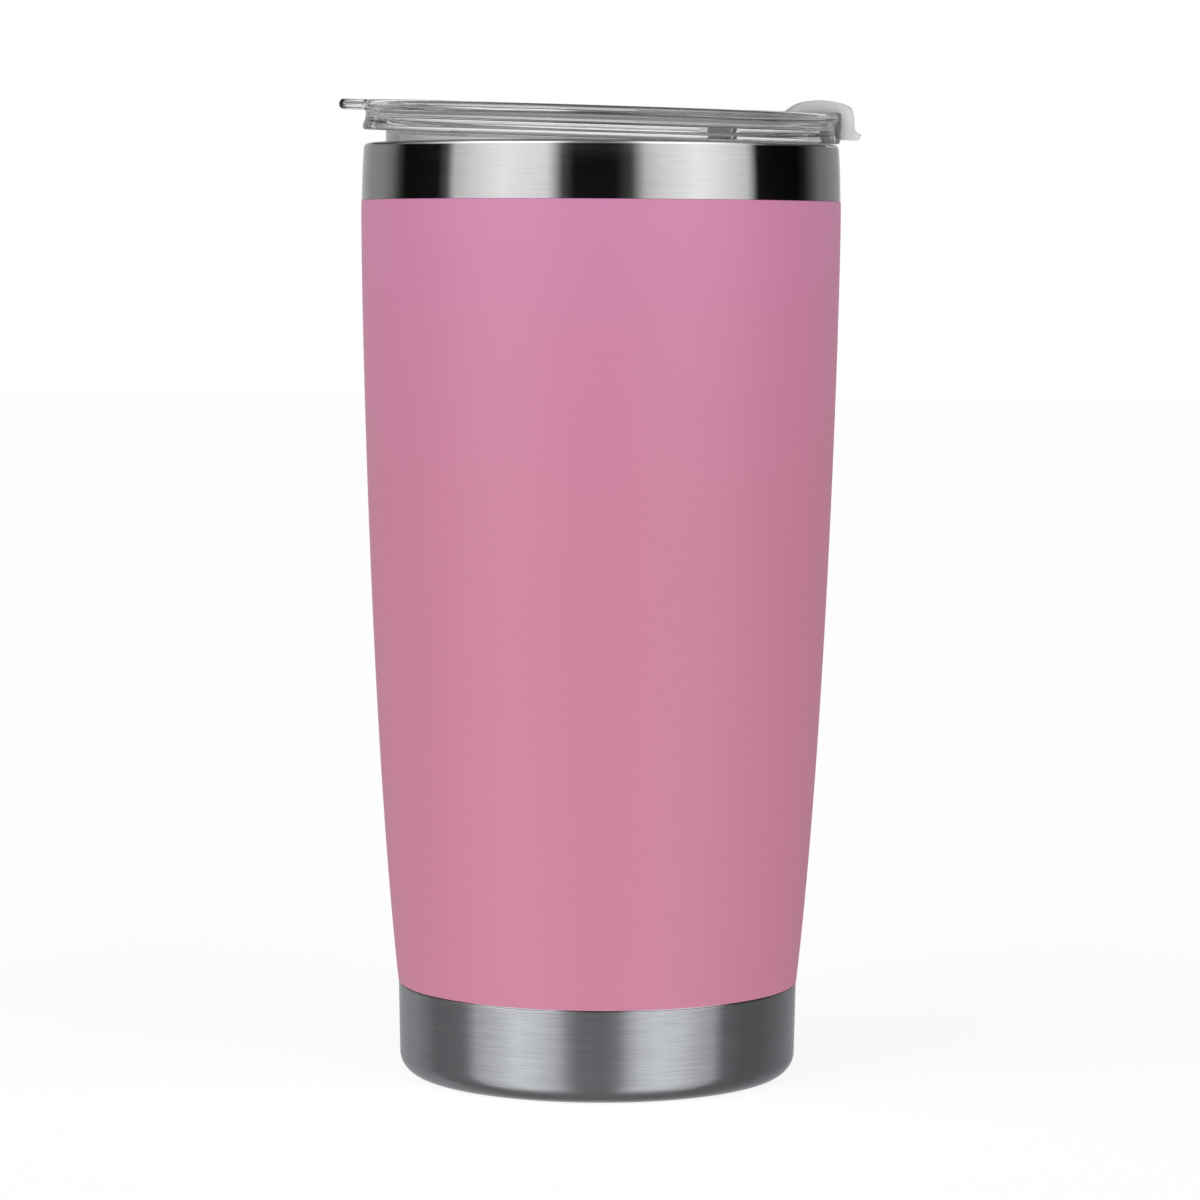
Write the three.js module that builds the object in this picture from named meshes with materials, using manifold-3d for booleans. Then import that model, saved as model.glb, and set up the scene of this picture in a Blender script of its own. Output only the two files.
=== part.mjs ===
// Insulated steel tumbler with a clear press-in lid and a soft flip closure.
// Units are millimetres, +Z is up, and the origin is the centre of the foot.
// The closure points towards +X, the thumb tab towards -X.

import * as THREE from 'three';
import { mergeVertices } from 'three/addons/utils/BufferGeometryUtils.js';
import Module from 'manifold-3d';

const wasm = await Module();
wasm.setup();

// ---------------------------------------------------------------- driving dimensions

const FACETS = 40;              // facets round a full turn
const SHEET = 0.6;              // steel sheet
const FIT = 0.3;                // gap left between touching pieces

// body
const RIM_TOP = 170.4;
const RIM_ROUND = 1.2;          // outer radius of the rolled rim
const SEAM_Z = 17.15;           // lower edge of the coated wall
const COAT_TOP_Z = 160.1;       // upper edge of the coated wall
const COAT = 0.2;               // coat thickness
const COAT_GAP = 0.1;           // between the coat and the steel under it
const FOOT_ROUND = 4.0;         // outer radius where wall turns into foot
const BAND_LOW_R = 36.38;       // bare base band, at the foot
const BAND_TOP_R = 36.64;       // bare base band, at the seam
const FOOT_RING_R = 30.2;       // inside edge of the ring the tumbler stands on
const UNDERSIDE_Z = 2.0;        // recessed underside of the base cup

// liner
const MOUTH_R = 40.5;           // straight bore that the lid presses into
const MOUTH_LOW_Z = 157.5;
const LINER_FLOOR_Z = 15.0;
const LINER_CORNER = 9.0;

// lid, in its own frame: z = 0 is the lowest edge of its ring
const LID_GAP = 1.38;           // how far that edge stands above the rim, on the axis
const LID_DIP_RIGHT = 1.52;     // degrees: closure side lower
const LID_DIP_FRONT = 1.42;     // degrees: front lower
const LID_YAW = 1.5;            // degrees: closure turned a little to the back
const RING_R = 43.5;
const RING_H = 5.5;
const SEAT_Z = 0.45;            // flange face over the rim
const FLOOR_TOP_Z = 2.05;       // tray floor
const TRAY_R = 41.6;            // inside wall of the tray
const SKIRT_R = 39.25;
const SKIRT_LOW_Z = -9.0;
const GROOVE_R = 38.2;
const GROOVE_TOP_Z = -3.1;
const GROOVE_LOW_Z = -7.3;
const TAB_W = 14;
const TAB_R = 47.8;
const TAB_THICK = 1.9;
const SLOT_R = 33.0;            // centre of the drinking slot
const SLOT_W = 7.2;             // radial
const SLOT_L = 15.0;            // tangential
const VENT_R = 1.2;
const VENT_AT = -33;
const STUD_AT = 14;             // closure's stud
const STUD_R = 2.25;

// closure
const CLOSURE_W = 16;
const STRAP = 1.6;              // strap thickness
const HINGE_X = 22;             // living hinge, on the strap's upper face
const HINGE_SLIT = 0.3;         // strap pieces stop this far from the hinge line
const STRAP_LOW_Z = FLOOR_TOP_Z + FIT;
const STRAP_TOP_Z = STRAP_LOW_Z + STRAP;

// ---------------------------------------------------------------- materials

function steel(colour, roughness) {
  return new THREE.MeshStandardMaterial({ color: colour, roughness, metalness: 1 });
}

function plain(colour, roughness, opacity = 1) {
  return new THREE.MeshStandardMaterial({
    color: colour, roughness, metalness: 0, opacity, transparent: opacity < 1,
  });
}

// ---------------------------------------------------------------- shape helpers

const deg = THREE.MathUtils.degToRad;

// Points of an arc in a profile, from angle a to angle b in degrees (0 is outwards, 90 is up).
function arc(r, z, radius, a, b, steps) {
  const points = [];
  for (let i = 0; i <= steps; i++) {
    const t = deg(a + (b - a) * i / steps);
    points.push([r + radius * Math.cos(t), z + radius * Math.sin(t)]);
  }
  return points;
}

// Twice the signed area that a closed profile goes round; positive when anticlockwise.
function turn(profile) {
  return profile.reduce((sum, [r, z], i) => {
    const [r2, z2] = profile[(i + 1) % profile.length];
    return sum + r * z2 - r2 * z;
  }, 0);
}

// A closed [radius, height] profile turned about Z. It may start and end on the axis.
function turned(profile, facets = FACETS) {
  const ordered = turn(profile) > 0 ? profile : [...profile].reverse();
  const points = ordered.map(([r, z]) => new THREE.Vector2(r, z));
  const onAxis = points.some((p) => p.x === 0);
  if (onAxis) {
    while (points[0].x !== 0 || points.at(-1).x !== 0) points.push(points.shift());
  } else {
    points.push(points[0].clone());
  }
  return new THREE.LatheGeometry(points, facets).rotateX(Math.PI / 2);
}

// A flat outline extruded upwards from z = low to z = high, its edges bevelled inwards.
function plate(shape, low, high, bevel = 0) {
  const geometry = new THREE.ExtrudeGeometry(shape, {
    depth: high - low - 2 * bevel,
    bevelEnabled: bevel > 0,
    bevelThickness: bevel,
    bevelSize: bevel,
    bevelOffset: -bevel,
    bevelSegments: 1,
    curveSegments: 6,
  });
  return geometry.translate(0, 0, low + bevel);
}

// An oblong with round ends, long across X, centred at x on the X axis.
function oblong(x, width, length) {
  const r = width / 2;
  const straight = length / 2 - r;
  const shape = new THREE.Shape();
  shape.absarc(x, straight, r, 0, Math.PI, false);
  shape.absarc(x, -straight, r, Math.PI, 2 * Math.PI, false);
  return shape;
}

function solid(geometry) {
  const bare = geometry.clone();
  bare.deleteAttribute('normal');
  bare.deleteAttribute('uv');
  const merged = mergeVertices(bare, 1e-3);
  return new wasm.Manifold(new wasm.Mesh({
    numProp: 3,
    vertProperties: merged.attributes.position.array,
    triVerts: new Uint32Array(merged.index.array),
  }));
}

function geometryOf(manifold) {
  const mesh = manifold.getMesh();
  const geometry = new THREE.BufferGeometry();
  geometry.setAttribute('position', new THREE.BufferAttribute(mesh.vertProperties, 3));
  geometry.setIndex(new THREE.BufferAttribute(mesh.triVerts, 1));
  geometry.computeVertexNormals();
  return geometry;
}

function rod(x, radius, low, high, facets = 20) {
  return new THREE.CylinderGeometry(radius, radius, high - low, facets)
    .rotateX(Math.PI / 2)
    .translate(x, 0, (low + high) / 2);
}

function piece(name, geometry, material) {
  const mesh = new THREE.Mesh(geometry, material);
  mesh.name = name;
  return mesh;
}

// ---------------------------------------------------------------- body

// Outside of the coated wall: a slow barrel curve from the seam to the neck.
const wallCurve = new THREE.CubicBezierCurve(
  new THREE.Vector2(36.71, SEAM_Z),
  new THREE.Vector2(42.26, 67.5),
  new THREE.Vector2(43.95, 153.0),
  new THREE.Vector2(43.65, COAT_TOP_Z),
);

// Inside of the liner, between its bottom corner and the shoulder under the mouth.
const linerCurve = new THREE.CubicBezierCurve(
  new THREE.Vector2(30.8, LINER_FLOOR_Z + LINER_CORNER),
  new THREE.Vector2(34.6, 62.0),
  new THREE.Vector2(38.2, 122.0),
  new THREE.Vector2(39.4, 155.5),
);

// Points along a curve, moved outwards by a distance.
function along(curve, out, steps) {
  return curve.getPoints(steps).map((p) => [p.x + out, p.y]);
}

function powderCoat() {
  const outside = along(wallCurve, 0, 9);
  const inside = along(wallCurve, -COAT, 9).reverse();
  return turned([...outside, ...inside]);
}

function outerShell() {
  const underCoat = -COAT - COAT_GAP;
  const neckZ = COAT_TOP_Z + COAT;
  const neck = [[43.6, neckZ], [43.54, 163.8], [43.39, 167.4]];
  const rimR = 43.2 - RIM_ROUND;
  const rimZ = RIM_TOP - RIM_ROUND;
  return turned([
    ...along(wallCurve, underCoat, 9),
    ...neck,
    ...arc(rimR, rimZ, RIM_ROUND, 0, 90, 4),
    [rimR - 0.1, RIM_TOP],
    [rimR - 0.1, RIM_TOP - SHEET],
    ...arc(rimR, rimZ, RIM_ROUND - SHEET, 90, 0, 3),
    ...neck.map(([r, z]) => [r - SHEET, z]).reverse(),
    ...along(wallCurve, underCoat - SHEET, 9).reverse(),
  ]);
}

function innerLiner() {
  const lipR = 41.5;
  const lipZ = RIM_TOP - 1.0;
  const cornerZ = LINER_FLOOR_Z + LINER_CORNER;
  const cornerR = linerCurve.v0.x - LINER_CORNER;
  return turned([
    [0, LINER_FLOOR_Z],
    ...arc(cornerR, cornerZ, LINER_CORNER, -90, 0, 4),
    ...along(linerCurve, 0, 6).slice(1),
    [MOUTH_R, MOUTH_LOW_Z],
    ...arc(lipR, lipZ, 1.0, 180, 90, 3),
    [lipR + 0.1, RIM_TOP],
    [lipR + 0.1, RIM_TOP - SHEET],
    ...arc(lipR, lipZ, 1.0 - SHEET, 90, 180, 2),
    [MOUTH_R + SHEET, MOUTH_LOW_Z - 0.3],
    ...along(linerCurve, SHEET, 6).reverse(),
    ...arc(cornerR, cornerZ, LINER_CORNER + SHEET, 0, -90, 4).slice(1),
    [0, LINER_FLOOR_Z - SHEET],
  ]);
}

// Reflective foil wrapped round the liner, inside the vacuum.
function linerWrap() {
  const foil = 0.2;
  const inside = along(linerCurve, SHEET + FIT, 6).filter(([, z]) => z > 30);
  const outside = inside.map(([r, z]) => [r + foil, z]).reverse();
  return turned([...inside, ...outside]);
}

// Drawn cup that closes the shell: bare base band, foot ring, recess and evacuation dimple.
function baseCup() {
  const top = SEAM_Z - FIT;
  const roundR = BAND_LOW_R - FOOT_ROUND;
  const floorTop = UNDERSIDE_Z + SHEET;
  return turned([
    [BAND_TOP_R, top],
    ...arc(roundR, FOOT_ROUND, FOOT_ROUND, 0, -90, 5),
    [FOOT_RING_R + 0.4, 0],
    [FOOT_RING_R, 0.4],
    [FOOT_RING_R, UNDERSIDE_Z],
    [5.0, UNDERSIDE_Z],
    [1.9, 3.4],
    [1.2, 3.4],
    [1.2, 4.0],
    [1.9, 4.0],
    [5.2, floorTop],
    [FOOT_RING_R + SHEET, floorTop],
    [FOOT_RING_R + SHEET, SHEET],
    ...arc(roundR, FOOT_ROUND, FOOT_ROUND - SHEET, -90, 0, 4),
    [BAND_TOP_R - SHEET, top],
  ]);
}

// Pressed disc glued into the recess of the foot.
function baseCover() {
  const edgeR = FOOT_RING_R - FIT;
  return turned([
    [0, 1.0], [22, 1.0], [23, 0.6], [edgeR - 0.4, 0.6], [edgeR, 0.8],
    [edgeR, 1.1], [23.3, 1.1], [22.3, 1.45], [0, 1.45],
  ]);
}

// Solder bead that closes the evacuation hole from below.
function sealBead() {
  return turned([[0, 1.8], [1.6, 1.85], [2.6, 2.1], [2.6, 2.5], [1.6, 3.0], [0, 3.1]], 16);
}

const GETTER_R = 4.5;
const GETTER_LOW_Z = 11.2;

function getterPill() {
  const top = LINER_FLOOR_Z - SHEET - FIT - 0.4;
  return turned([
    [0, GETTER_LOW_Z], [GETTER_R - 0.3, GETTER_LOW_Z], [GETTER_R, GETTER_LOW_Z + 0.3],
    [GETTER_R, top - 0.3], [GETTER_R - 0.3, top], [0, top],
  ], 20);
}

// Hat-shaped strap that holds the getter pill against the liner's bottom.
function getterHolder() {
  const strap = 0.5;
  const width = 6;
  const top = LINER_FLOOR_Z - SHEET - FIT;
  const low = GETTER_LOW_Z - FIT - strap;
  const leg = GETTER_R + FIT;
  const wing = 10;
  const half = [
    [wing, top - strap], [wing, top], [leg, top], [leg, low + strap],
  ];
  const outer = [[leg + strap, low], [leg + strap, top - strap]];
  const mirrored = (points) => points.map(([x, z]) => [-x, z]).reverse();
  const outline = [...outer, ...half, ...mirrored(half), ...mirrored(outer)];
  const shape = new THREE.Shape(outline.map(([x, z]) => new THREE.Vector2(x, z)));
  return new THREE.ExtrudeGeometry(shape, { depth: width, bevelEnabled: false })
    .rotateX(Math.PI / 2)
    .translate(0, width / 2, 0);
}

// ---------------------------------------------------------------- lid

// Ring with two beads and a waist, tray floor, skirt and gasket groove.
function lidTray() {
  return turned([
    [0, SEAT_Z],
    [36.5, SEAT_Z],
    [36.9, SEAT_Z - 0.4],
    [36.9, SKIRT_LOW_Z + 0.3],
    [37.1, SKIRT_LOW_Z],
    [38.7, SKIRT_LOW_Z],
    [39.0, SKIRT_LOW_Z + 0.4],
    [39.1, GROOVE_LOW_Z],
    [GROOVE_R, GROOVE_LOW_Z],
    [GROOVE_R, GROOVE_TOP_Z],
    [39.2, GROOVE_TOP_Z],
    [SKIRT_R, -0.2],
    [39.9, SEAT_Z],
    [42.75, SEAT_Z],
    [42.9, 0.1],
    [43.1, 0],
    [43.4, 0.3],
    [RING_R, 0.75],
    [43.35, 1.35],
    [43.08, 2.0],
    [43.05, 2.8],
    [43.1, 3.6],
    [RING_R, 4.3],
    [RING_R, 4.85],
    [43.3, 5.3],
    [42.9, RING_H],
    [41.9, RING_H],
    [TRAY_R, RING_H - 0.3],
    [TRAY_R, FLOOR_TOP_Z + 0.6],
    [TRAY_R - 0.6, FLOOR_TOP_Z],
    [0, FLOOR_TOP_Z],
  ]);
}

// Flat thumb tab, flush with the top of the ring.
function thumbTab() {
  const half = TAB_W / 2;
  const corner = 3;
  const rootR = 42.4;
  const rootAngle = Math.asin(half / rootR);
  const shape = new THREE.Shape();
  shape.moveTo(-rootR * Math.cos(rootAngle), half);
  shape.absarc(-TAB_R + corner, half - corner, corner, Math.PI / 2, Math.PI, false);
  shape.absarc(-TAB_R + corner, -half + corner, corner, Math.PI, 1.5 * Math.PI, false);
  shape.lineTo(-rootR * Math.cos(rootAngle), -half);
  shape.absarc(0, 0, rootR, Math.PI + rootAngle, Math.PI - rootAngle, true);
  return plate(shape, RING_H - TAB_THICK, RING_H, 0.35);
}

function lidShell() {
  const through = [SEAT_Z - 2, FLOOR_TOP_Z + 2];
  return geometryOf(
    solid(lidTray())
      .add(solid(thumbTab()))
      .subtract(solid(plate(oblong(SLOT_R, SLOT_W, SLOT_L), ...through)))
      .subtract(solid(rod(VENT_AT, VENT_R, ...through, 12)))
      .subtract(solid(rod(STUD_AT, STUD_R + FIT, ...through))),
  );
}

// Two-lipped sealing ring that sits in the skirt's groove.
function lidGasket() {
  const inR = GROOVE_R + FIT;
  const top = GROOVE_TOP_Z - FIT;
  const low = GROOVE_LOW_Z + FIT;
  const lipR = 39.85;
  return turned([
    [inR, top], [39.3, top], [lipR, top - 0.7], [39.4, top - 1.5],
    [lipR, top - 2.2], [39.3, low + 0.1], [39.2, low], [inR, low],
  ]);
}

// ---------------------------------------------------------------- closure

// Fixed end of the closure: a round-ended pad on a stud with a mushroom head.
function closureAnchor() {
  const r = CLOSURE_W / 2;
  const end = HINGE_X - HINGE_SLIT;
  const shape = new THREE.Shape();
  shape.moveTo(end, -r);
  shape.lineTo(end, r);
  shape.lineTo(STUD_AT, r);
  shape.absarc(STUD_AT, 0, r, Math.PI / 2, 1.5 * Math.PI, false);
  const headTop = SEAT_Z - FIT;
  const stud = turned([
    [0, headTop - 1.9], [2.8, headTop - 1.9], [3.6, headTop - 1.2], [3.6, headTop],
    [STUD_R, headTop], [STUD_R, STRAP_LOW_Z + 0.5], [0, STRAP_LOW_Z + 0.5],
  ], 20).translate(STUD_AT, 0, 0);
  return geometryOf(solid(plate(shape, STRAP_LOW_Z, STRAP_TOP_Z, 0.3)).add(solid(stud)));
}

// Moving end: strap, dome over the ring, hook down its outside with a finger lip, and plug.
function closureFlap() {
  const under = RING_H + FIT;
  const hookIn = RING_R + FIT;
  const swept = turned([
    [15, STRAP_TOP_Z],
    [30.5, STRAP_TOP_Z],
    [32.5, 4.3],
    [34.3, RING_H],
    [35.9, 6.85],
    [37.6, 7.55],
    [39.4, 7.85],
    [41.4, 7.75],
    [43.5, 7.45],
    [44.9, 7.05],
    [45.5, 6.3],
    [45.92, 4.6],
    [45.92, 2.5],
    [47.27, 1.85],
    [46.8, 0.8],
    [hookIn + 0.2, 0.8],
    [hookIn, 1.0],
    [hookIn, under - 0.4],
    [hookIn - 0.3, under],
    [37.4, under],
    [36.4, 5.0],
    [36.2, STRAP_LOW_Z],
    [15, STRAP_LOW_Z],
  ]);
  const start = HINGE_X + HINGE_SLIT;
  const reach = 30;
  const cut = new THREE.BoxGeometry(reach, CLOSURE_W, 20).translate(start + reach / 2, 0, 0);
  const plug = plate(oblong(SLOT_R - 0.2, SLOT_W - 1.2, SLOT_L - 0.8), -0.6, STRAP_LOW_Z + 0.6, 0.4);
  return geometryOf(solid(swept).intersect(solid(cut)).add(solid(plug)));
}

// ---------------------------------------------------------------- assembly

const cup = new THREE.Group();
cup.add(
  piece('inner_liner', innerLiner(), steel(0xc4c5c8, 0.35)),
  piece('liner_wrap', linerWrap(), steel(0xd8b090, 0.3)),
  piece('outer_shell', outerShell(), steel(0xb9babd, 0.3)),
  piece('powder_coat', powderCoat(), plain(0xcf86a4, 0.55)),
  piece('base_cup', baseCup(), steel(0xb0b3b8, 0.35)),
  piece('base_cover', baseCover(), steel(0xbfc1c4, 0.4)),
  piece('vacuum_seal_bead', sealBead(), plain(0x3c3f46, 0.3)),
  piece('getter_pill', getterPill(), steel(0x6d6a66, 0.8)),
  piece('getter_holder', getterHolder(), steel(0xa9abae, 0.4)),
);

const lid = new THREE.Group();
lid.position.z = RIM_TOP + LID_GAP;
lid.rotation.set(deg(LID_DIP_FRONT), deg(LID_DIP_RIGHT), deg(LID_YAW), 'YXZ');
lid.add(
  piece('lid_shell', lidShell(), plain(0xe6eaec, 0.08, 0.35)),
  piece('lid_gasket', lidGasket(), plain(0xdfe0e0, 0.6, 0.8)),
  piece('closure_anchor', closureAnchor(), plain(0xc9cacb, 0.5, 0.9)),
  piece('closure_flap', closureFlap(), plain(0xc9cacb, 0.5, 0.9)),
);

const tumbler = new THREE.Group();
tumbler.add(cup, lid);

export default tumbler;
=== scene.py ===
# %% [markdown]
# # A steel tumbler with a clear lid
# The CAD model gives the sizes, the places and the joints. This script dresses it: each piece
# that shows is made again as a fine surface with its own finish, and all but the closure ride
# on the body that moves them. Nothing here moves or resizes a CAD part.

import bpy
import numpy as np
from mathutils import Matrix, Vector


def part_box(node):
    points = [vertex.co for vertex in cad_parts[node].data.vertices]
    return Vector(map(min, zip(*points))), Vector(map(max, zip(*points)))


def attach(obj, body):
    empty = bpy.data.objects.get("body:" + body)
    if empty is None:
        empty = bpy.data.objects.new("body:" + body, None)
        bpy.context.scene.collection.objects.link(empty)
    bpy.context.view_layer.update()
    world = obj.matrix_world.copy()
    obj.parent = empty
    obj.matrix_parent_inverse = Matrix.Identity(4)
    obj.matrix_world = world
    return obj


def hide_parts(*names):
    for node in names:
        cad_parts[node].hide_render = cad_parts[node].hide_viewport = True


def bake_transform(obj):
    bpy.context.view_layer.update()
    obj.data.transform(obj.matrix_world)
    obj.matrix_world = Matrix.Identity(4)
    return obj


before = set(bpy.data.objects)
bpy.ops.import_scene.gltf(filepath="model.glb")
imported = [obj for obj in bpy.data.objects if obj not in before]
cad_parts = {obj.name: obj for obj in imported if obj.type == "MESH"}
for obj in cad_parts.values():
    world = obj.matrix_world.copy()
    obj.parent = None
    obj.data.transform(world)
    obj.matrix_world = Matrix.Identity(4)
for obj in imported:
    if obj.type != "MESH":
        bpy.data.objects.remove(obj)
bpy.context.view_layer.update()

# %% [markdown]
# ## Driving sizes
# The shapes below are worked out in millimetres, as on a drawing, and turned into metres when
# a mesh is made. Heights that the CAD knows are read from its boxes. The lid was pressed in a
# little askew, so it has a frame of its own: its lowest ring edge is at z = 0 there.

# %% Sizes from the CAD, in millimetres
MM = 0.001


def top_of(node):
    """Highest point of a CAD node, in millimetres."""
    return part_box(node)[1][2] / MM


def bottom_of(node):
    """Lowest point of a CAD node, in millimetres."""
    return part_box(node)[0][2] / MM


RIM_TOP = top_of("outer_shell")
SEAM_Z = bottom_of("powder_coat")
COAT_TOP_Z = top_of("powder_coat")
LINER_LOW_Z = bottom_of("inner_liner")

LID_GAP = 1.38
LID_DIP_RIGHT = 1.52
LID_DIP_FRONT = 1.42
LID_YAW = 1.5


def turn_about(axis, degrees):
    """Rotation matrix about one axis."""
    return Matrix.Rotation(np.radians(degrees), 4, axis)


lid_turn = turn_about("Y", LID_DIP_RIGHT) @ turn_about("X", LID_DIP_FRONT)
lid_frame = Matrix.Translation((0, 0, RIM_TOP + LID_GAP)) @ lid_turn @ turn_about("Z", LID_YAW)
print("rim at", round(RIM_TOP, 2), "mm, coat from", round(SEAM_Z, 2), "to", round(COAT_TOP_Z, 2))

# %% [markdown]
# ## Turned surfaces
# Almost everything here was spun, drawn or moulded round one axis. A turned surface is a
# profile carried round that axis: point (r, z) at angle a goes to (r cos a, r sin a, z). The
# profile is a few arcs, curves and straight lines, and numpy works out the whole grid at once.

# %% Profile helpers


def arc(r, z, radius, start, end, steps=8):
    """Points r + radius cos t, z + radius sin t, with t from start to end in degrees."""
    t = np.radians(np.linspace(start, end, steps + 1))
    return np.column_stack([r + radius * np.cos(t), z + radius * np.sin(t)])


def bezier(a, b, c, d, steps=40):
    """Cubic curve from a to d, pulled towards b and c."""
    t = np.linspace(0, 1, steps + 1)[:, None]
    a, b, c, d = (np.array(p, float) for p in (a, b, c, d))
    return (1 - t) ** 3 * a + 3 * (1 - t) ** 2 * t * b + 3 * (1 - t) * t**2 * c + t**3 * d


def through(points, steps=6):
    """Smooth curve through the points: on each span a cubic whose slopes are those between
    the neighbouring points (Catmull-Rom)."""
    p = np.array(points, float)
    p = np.vstack([2 * p[0] - p[1], p, 2 * p[-1] - p[-2]])
    t = np.linspace(0, 1, steps, endpoint=False)[None, :, None]
    p0, p1, p2, p3 = (p[i : len(p) - 3 + i, None, :] for i in range(4))
    span = 0.5 * (
        2 * p1 + (p2 - p0) * t
        + (2 * p0 - 5 * p1 + 4 * p2 - p3) * t**2
        + (3 * p1 - p0 - 3 * p2 + p3) * t**3
    )
    return np.vstack([span.reshape(-1, 2), p[-2]])


def rounded(corners, steps=5, hold=0.12):
    """Open path along straight lines whose corners (r, z, radius) are rounded: each is a
    quadratic curve between points at that distance along its two edges. Two holding points,
    a little way along each edge, keep the smooth shading of a flat face flat."""
    c = np.array(corners, float)
    parts = [c[:1, :2]]
    for before, here, after in zip(c[:-2], c[1:-1], c[2:]):
        back, ahead = before[:2] - here[:2], after[:2] - here[:2]
        back_len, ahead_len = np.linalg.norm(back), np.linalg.norm(ahead)
        radius = min(here[2], 0.45 * back_len, 0.45 * ahead_len)
        start = here[:2] + back / back_len * radius
        end = here[:2] + ahead / ahead_len * radius
        t = np.linspace(0, 1, steps + 1)[:, None]
        bend = (1 - t) ** 2 * start + 2 * (1 - t) * t * here[:2] + t**2 * end
        hold_in = start + back / back_len * min(hold, 0.04 * back_len)
        hold_out = end + ahead / ahead_len * min(hold, 0.04 * ahead_len)
        parts.append(np.vstack([hold_in, bend, hold_out]))
    parts.append(c[-1:, :2])
    return np.vstack(parts)


def joined(*parts):
    """One profile from several, without points that repeat."""
    p = np.vstack(parts)
    keep = np.r_[True, np.linalg.norm(np.diff(p, axis=0), axis=1) > 1e-4]
    return p[keep]


# %% Mesh objects
SHARP_ANGLE = 38


def shade_smoothly(mesh):
    """Smooth shading that keeps edges sharp where faces meet at more than SHARP_ANGLE."""
    mesh.shade_smooth()
    mesh.set_sharp_from_angle(angle=np.radians(SHARP_ANGLE))


def mesh_object(name, points, faces, place=None):
    """Object from points in millimetres; place is its matrix in millimetres. The object's
    origin stays at the frame's origin."""
    mesh = bpy.data.meshes.new(name)
    mesh.from_pydata(np.asarray(points, float).tolist(), [], faces)
    mesh.validate()
    if place is not None:
        mesh.transform(place)
    mesh.transform(Matrix.Scale(MM, 4))
    shade_smoothly(mesh)
    obj = bpy.data.objects.new(name, mesh)
    bpy.context.scene.collection.objects.link(obj)
    return obj


def grid_faces(rows, cols, wrap_rows, wrap_cols):
    """Quads of a grid of points numbered row by row; a wrapped side joins its first line."""
    i = np.arange(rows if wrap_rows else rows - 1)[:, None]
    j = np.arange(cols if wrap_cols else cols - 1)[None, :]
    i2, j2 = (i + 1) % rows, (j + 1) % cols
    quads = np.stack([i * cols + j, i * cols + j2, i2 * cols + j2, i2 * cols + j], -1)
    return quads.reshape(-1, 4)


# %% Surfaces of revolution
ROUND_SIDES = 256


def turned(name, profile, sides=ROUND_SIDES, place=None):
    """Closed surface of revolution. A profile that starts and ends on the axis gets a pole
    there; any other is joined end to start. It runs anticlockwise in (r, z), so that faces
    point out."""
    p = np.asarray(profile, float)
    area = np.sum(p[:, 0] * np.roll(p[:, 1], -1) - np.roll(p[:, 0], -1) * p[:, 1])
    if area < 0:
        p = p[::-1]
    poles = p[0, 0] < 1e-6 and p[-1, 0] < 1e-6
    body = p[1:-1] if poles else p
    a = np.linspace(0, 2 * np.pi, sides, endpoint=False)
    x, y = body[:, :1] * np.cos(a), body[:, :1] * np.sin(a)
    z = np.broadcast_to(body[:, 1:], x.shape)
    points = np.stack([x, y, z], -1).reshape(-1, 3)
    faces = grid_faces(len(body), sides, not poles, True).tolist()
    if poles:
        low, high = len(points), len(points) + 1
        points = np.vstack([points, [0, 0, p[0, 1]], [0, 0, p[-1, 1]]])
        ring = np.arange(sides)
        after = (ring + 1) % sides
        last = (len(body) - 1) * sides
        faces += np.stack([np.full(sides, low), after, ring], -1).tolist()
        faces += np.stack([np.full(sides, high), last + ring, last + after], -1).tolist()
    return mesh_object(name, points, faces, place)


print("round pieces have", ROUND_SIDES, "sides")

# %% [markdown]
# ## Node helpers
# A finish is a small graph of nodes. The helpers keep each graph to a few readable lines: one
# makes a node and sets its sockets, one links two sockets, and one starts a material with its
# Principled shader.

# %% Nodes and links


def node(tree, kind, **sockets):
    """New node with some input sockets set by name."""
    made = tree.nodes.new(kind)
    for name, value in sockets.items():
        made.inputs[name.replace("_", " ")].default_value = value
    return made


def link(tree, out_socket, in_socket):
    """Joins an output socket to an input socket."""
    tree.links.new(out_socket, in_socket)


def math(tree, operation, a, b=None):
    """A Math node on sockets or numbers; returns its output socket."""
    made = tree.nodes.new("ShaderNodeMath")
    made.operation = operation
    for socket, value in zip(made.inputs, (a, b)):
        if value is None:
            continue
        if isinstance(value, (int, float)):
            socket.default_value = value
        else:
            link(tree, value, socket)
    return made.outputs[0]


# %% Ramps and mixes


def ramp(tree, value, stops):
    """Colour ramp on a value; stops are (position, grey or colour)."""
    made = tree.nodes.new("ShaderNodeValToRGB")
    link(tree, value, made.inputs[0])
    elements = made.color_ramp.elements
    while len(elements) < len(stops):
        elements.new(0.5)
    for element, (position, shade) in zip(elements, stops):
        element.position = position
        colour = (shade,) * 3 if isinstance(shade, (int, float)) else shade
        element.color = (*colour, 1.0)
    return made.outputs[0]


def colour_socket(sockets, name):
    """The colour version of a Mix node's socket of that name."""
    return [s for s in sockets if s.name == name and s.type == "RGBA"][0]


def mixed(tree, factor, a, b):
    """Mix of two colours by a factor; each may be a socket, a number or a colour."""
    made = tree.nodes.new("ShaderNodeMix")
    made.data_type = "RGBA"
    targets = (made.inputs[0], colour_socket(made.inputs, "A"), colour_socket(made.inputs, "B"))
    for socket, value in zip(targets, (factor, a, b)):
        if isinstance(value, (int, float)):
            socket.default_value = value
        elif isinstance(value, tuple):
            socket.default_value = (*value, 1.0)
        else:
            link(tree, value, socket)
    return colour_socket(made.outputs, "Result")


# %% Materials and patterns


def new_material(name, **sockets):
    """Material with a Principled shader whose uniform sockets are set directly."""
    material = bpy.data.materials.new(name)
    material.use_nodes = True
    shader = material.node_tree.nodes["Principled BSDF"]
    for socket, value in sockets.items():
        shader.inputs[socket.replace("_", " ")].default_value = value
    return material, material.node_tree, shader


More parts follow.
